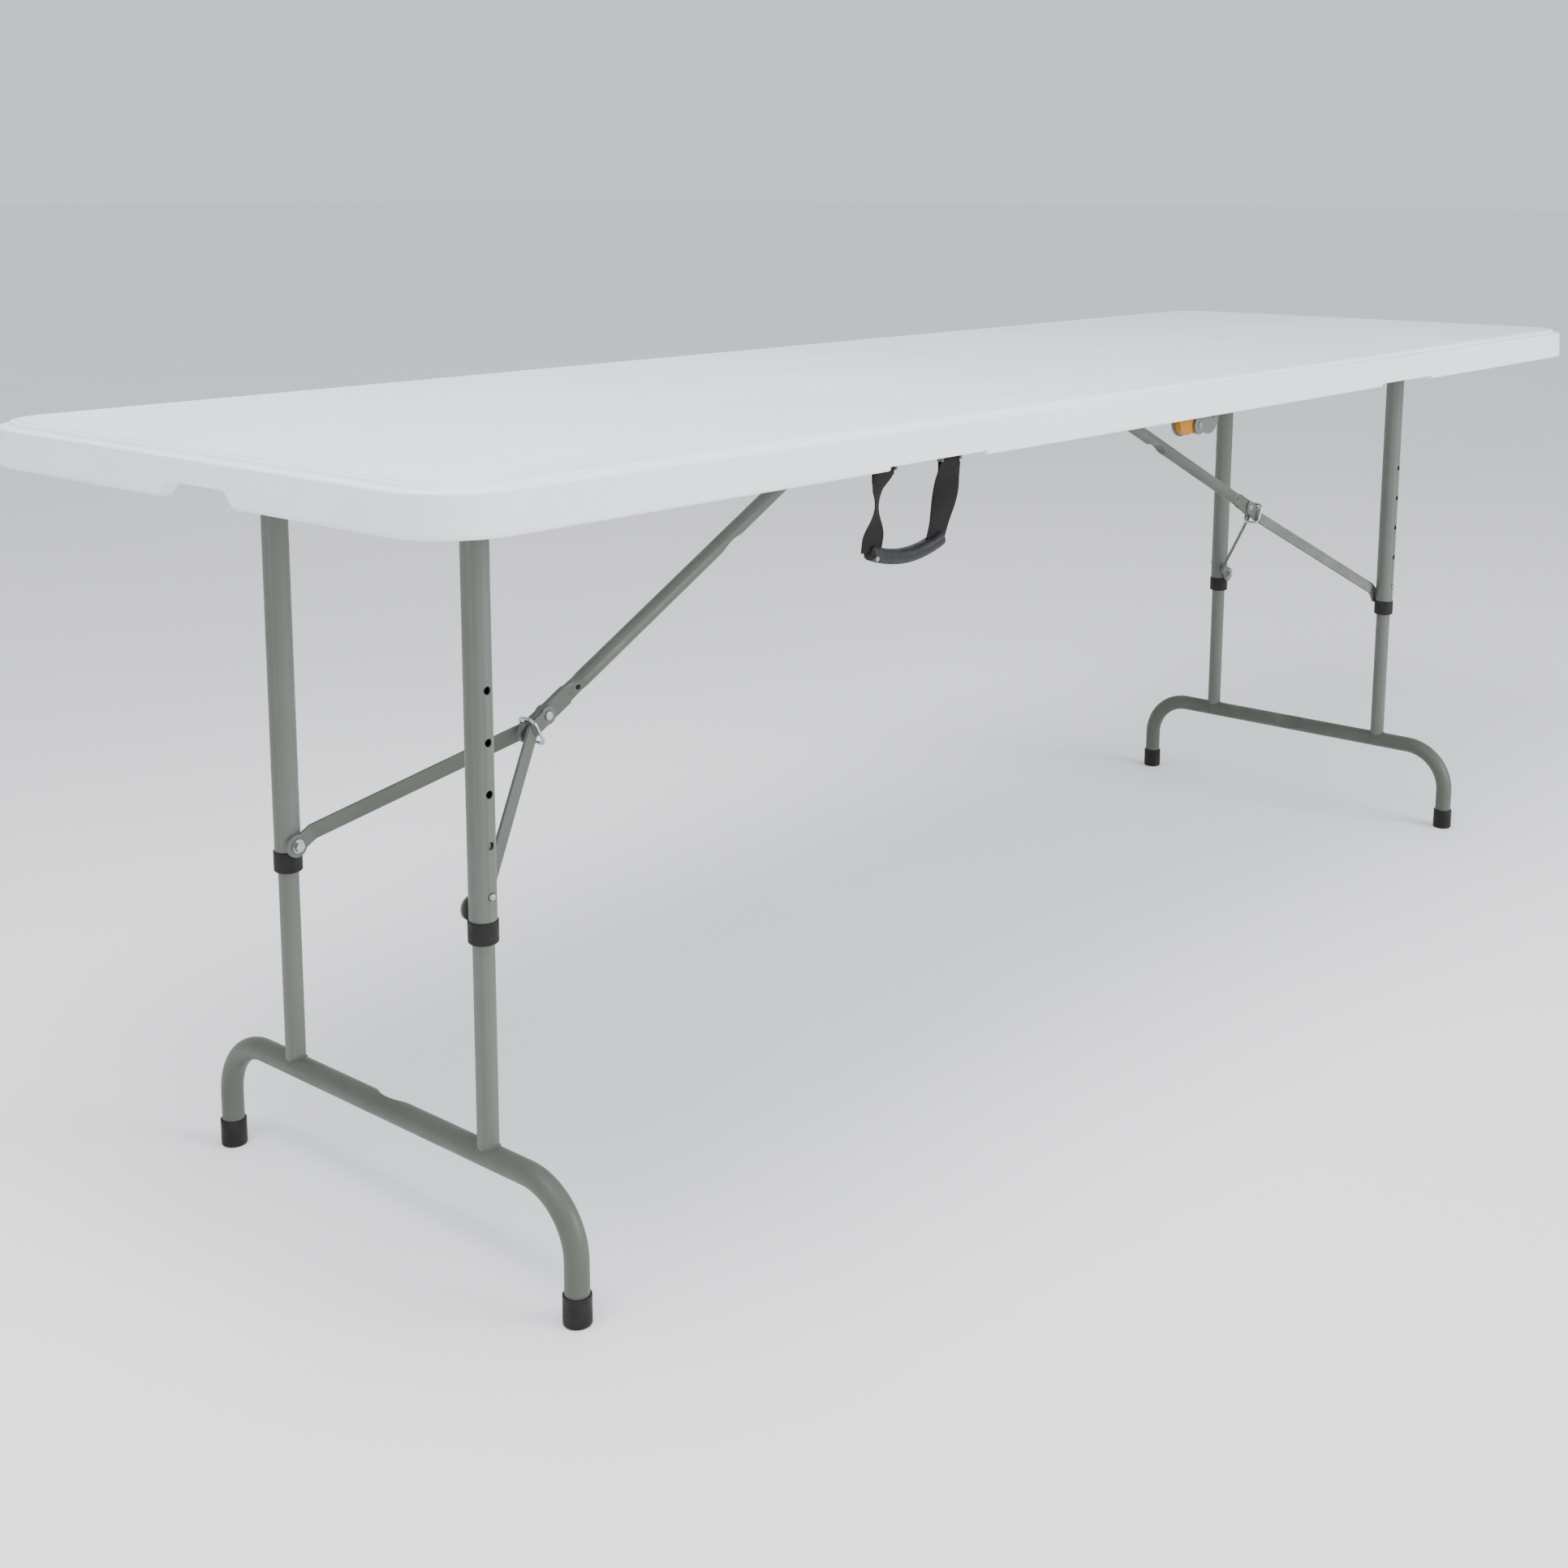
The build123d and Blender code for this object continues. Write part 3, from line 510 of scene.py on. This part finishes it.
def strap(name, node, twist_deg, crease, pinch, shift):
    """One webbing strap: a short tail behind the bar, a turn over it, then down to the grip.

    It is twisted by twist_deg in the middle, narrowed there by pinch, cupped by crease, and set over by
    shift along the table below the bar.
    """
    low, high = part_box(node)
    corners = [vertex.co for vertex in frame["nodes"][node].data.vertices]
    top_x = mean_x([c for c in corners if c.z > high.z - END_BAND])
    foot_x = mean_x([c for c in corners if c.z < low.z + END_BAND]) + shift
    y = (low.y + high.y) / 2
    bar_z = joints["handle_swing"]["pos_m"][2]
    bottom = low.z - STRAP_INTO_GRIP
    straight = bar_z - bottom
    turn_length = math.pi * STRAP_LOOP_RADIUS
    whole = STRAP_TAIL + turn_length + straight
    points = []
    uvs = []
    for row in range(STRAP_ROWS):
        travelled = whole * row / (STRAP_ROWS - 1)
        if travelled < STRAP_TAIL:
            centre = Vector((top_x, y + STRAP_LOOP_RADIUS, bar_z - STRAP_TAIL + travelled))
            outward = Vector((0, 1, 0))
            share = 0.0
        elif travelled < STRAP_TAIL + turn_length:
            angle = (travelled - STRAP_TAIL) / STRAP_LOOP_RADIUS
            outward = Vector((0, math.cos(angle), math.sin(angle)))
            centre = Vector((top_x, y, bar_z)) + outward * STRAP_LOOP_RADIUS
            share = 0.0
        else:
            share = (travelled - STRAP_TAIL - turn_length) / straight
            ease = min(1.0, share / STRAP_SETTLE)
            x = top_x + shift * ease + (foot_x - shift - top_x) * share
            centre = Vector((x, y - STRAP_LOOP_RADIUS * (1 - 0.8 * ease), bar_z - share * straight))
            centre.x += crease * math.sin(math.pi * share) * STRAP_BOW
            outward = Vector((0, -1, 0))
        swing = math.sin(math.pi * min(1.0, share * TWIST_RATE)) ** 2
        angle = math.radians(twist_deg) * swing
        spread = min(1.0, share * SPREAD_RATE) - TAPER * max(0.0, share - TAPER_FROM) / (1 - TAPER_FROM)
        width = (STRAP_BAR_WIDTH + (STRAP_WIDTH - STRAP_BAR_WIDTH) * spread) * (1 - pinch * swing)
        across = Vector((math.cos(angle), math.sin(angle), 0))
        through = outward if share == 0.0 else Vector((math.sin(angle), -math.cos(angle), 0))
        for across_by, through_by in strap_section(width, STRAP_THICK):
            cup = crease * STRAP_CUP * swing * math.cos(math.pi * across_by / width)
            points.append(centre + across * across_by + through * (through_by + cup))
            uvs.append((across_by, travelled))
    faces = grid_faces(STRAP_ROWS, STRAP_COLUMNS)
    faces.append(tuple(range(STRAP_COLUMNS))[::-1])
    last = (STRAP_ROWS - 1) * STRAP_COLUMNS
    faces.append(tuple(range(last, last + STRAP_COLUMNS)))
    piece = make_piece(name, points, faces, "webbing", "handle", uvs)
    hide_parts(node)


def eyelet(name, centre):
    """A small rolled metal eyelet, facing out from the table."""
    rows = EYELET_ROWS
    columns = EYELET_COLUMNS
    points = []
    for row in range(rows):
        around = TURN * row / rows
        spoke = Vector((math.cos(around), 0, math.sin(around)))
        for column in range(columns):
            angle = TURN * column / columns
            reach = EYELET_RADIUS + EYELET_TUBE * math.cos(angle)
            points.append(centre + spoke * reach + Vector((0, EYELET_DEPTH * math.sin(angle), 0)))
    faces = grid_faces(rows, columns, close_rows=True)
    make_piece(name, points, faces, "zinc", "handle")


def grip():
    """The bowed hand grip: a rounded bar with rows of dimples below and an oval pad on its front."""
    low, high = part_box("handle_grip")
    y = (low.y + high.y) / 2
    radius = (high.y - low.y) / 2 - GRIP_SKIN
    length = high.x - low.x
    sag = (high.z - low.z) - 2 * radius
    centre_x = (low.x + high.x) / 2
    points = []
    for row in range(GRIP_ROWS):
        share = -1 + 2 * row / (GRIP_ROWS - 1)
        end = max(0.0, (abs(share) - GRIP_END_FROM) / (1 - GRIP_END_FROM))
        size = radius * math.sqrt(max(GRIP_END_LEAST, 1 - end * end))
        x = centre_x + share * (length / 2 - GRIP_END_CLEAR)
        z = low.z + radius + sag * share * share
        slope = 2 * sag * share / (length / 2)
        normal = Vector((-slope, 0, 1)).normalized()
        for column in range(GRIP_COLUMNS):
            angle = TURN * column / GRIP_COLUMNS
            reach = size * (1 - GRIP_FLATTEN * math.cos(2 * angle) ** 2)
            if math.sin(angle) < DIMPLE_BELOW and abs(share) < DIMPLE_SPAN:
                along_cell = math.cos(TURN * (x - centre_x) / DIMPLE_PITCH)
                around_cell = math.cos(TURN * angle * radius / DIMPLE_PITCH)
                pit = max(0.0, (along_cell + around_cell) / 2 - DIMPLE_RIM)
                reach -= DIMPLE_DEPTH * min(1.0, pit * DIMPLE_STEEPNESS)
            pad_along = (x - centre_x - PAD_AT) / PAD_HALF_LENGTH
            pad_around = (angle - math.pi) / PAD_HALF_ANGLE
            pad = pad_along**2 + pad_around**2
            if pad < 1:
                reach += PAD_HEIGHT * (1 - pad) ** PAD_ROUNDNESS
            outward = Vector((0, math.cos(angle), 0)) + normal * math.sin(angle)
            points.append(Vector((x, y, z)) + outward * reach)
    faces = grid_faces(GRIP_ROWS, GRIP_COLUMNS)
    faces.append(tuple(range(GRIP_COLUMNS))[::-1])
    last = (GRIP_ROWS - 1) * GRIP_COLUMNS
    faces.append(tuple(range(last, last + GRIP_COLUMNS)))
    piece = make_piece("hand_grip", points, faces, "grip_plastic", "handle")
    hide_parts("handle_grip")


# ---- floor and light -----------------------------------------------------------------------------
FLOOR_HALF = 80.0


def make_floor():
    """A plain pale studio floor."""
    mesh = bpy.data.meshes.new("floor")
    corners = [(-1, -1), (1, -1), (1, 1), (-1, 1)]
    mesh.from_pydata([(FLOOR_HALF * x, FLOOR_HALF * y, 0) for x, y in corners], [], [(0, 1, 2, 3)])
    finish = Finish("floor", (0.92, 0.92, 0.93), 0.75)
    finish.colour(finish.ramp(finish.noise(0.8), 0.3, 0.7, (0.91, 0.91, 0.92), (0.94, 0.94, 0.945)))
    mesh.materials.append(finish.material)
    floor = bpy.data.objects.new("floor", mesh)
    scene.collection.objects.link(floor)


def softbox(name, place, target, size, watts, colour=(1, 1, 1)):
    """An area light aimed at a target."""
    data = bpy.data.lights.new(name, "AREA")
    data.shape = "RECTANGLE"
    data.size = size[0]
    data.size_y = size[1]
    data.energy = watts
    data.color = colour
    light = bpy.data.objects.new(name, data)
    scene.collection.objects.link(light)
    light.location = place
    aim = Vector(target) - Vector(place)
    light.rotation_mode = "QUATERNION"
    light.rotation_quaternion = aim.to_track_quat("-Z", "Y")


def make_lights():
    """Even studio light, with a key from the right of the carrying handle's side."""
    world = bpy.data.worlds.new("studio")
    scene.world = world
    world.use_nodes = True
    background = world.node_tree.nodes["Background"]
    background.inputs["Color"].default_value = (0.93, 0.95, 1.0, 1)
    background.inputs["Strength"].default_value = 0.95
    softbox("key", (1.2, -4.4, 2.0), (0, 0, 0.7), (2.6, 1.8), 230, (0.96, 0.98, 1.0))
    softbox("overhead", (-1.6, -0.4, 3.0), (-0.7, 0, 0.8), (1.6, 1.6), 110, (0.98, 0.99, 1.0))
    softbox("fill", (-4.2, -0.6, 1.6), (-1.0, 0, 0.6), (1.6, 1.6), 20)


# ---- put it together -----------------------------------------------------------------------------
make_camera()
make_floor()
make_lights()
dress_cad_nodes()
grip_low, grip_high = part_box("handle_grip")
for side_name in ("near", "far"):
    foot_welds(side_name)
    leg_top_welds(side_name)
    sleeve_welds(side_name)
strap("left_webbing", "handle_left_strap", 31.0, 0.4, 0.2, -0.007)
strap("right_webbing", "handle_right_strap", -12.0, 1.0, 0.0, 0.0)
eyelet_place = (grip_low.x + EYELET_INSET, grip_low.y - EYELET_PROUD, grip_high.z - EYELET_DROP)
eyelet("grip_eyelet", Vector(eyelet_place))
grip()
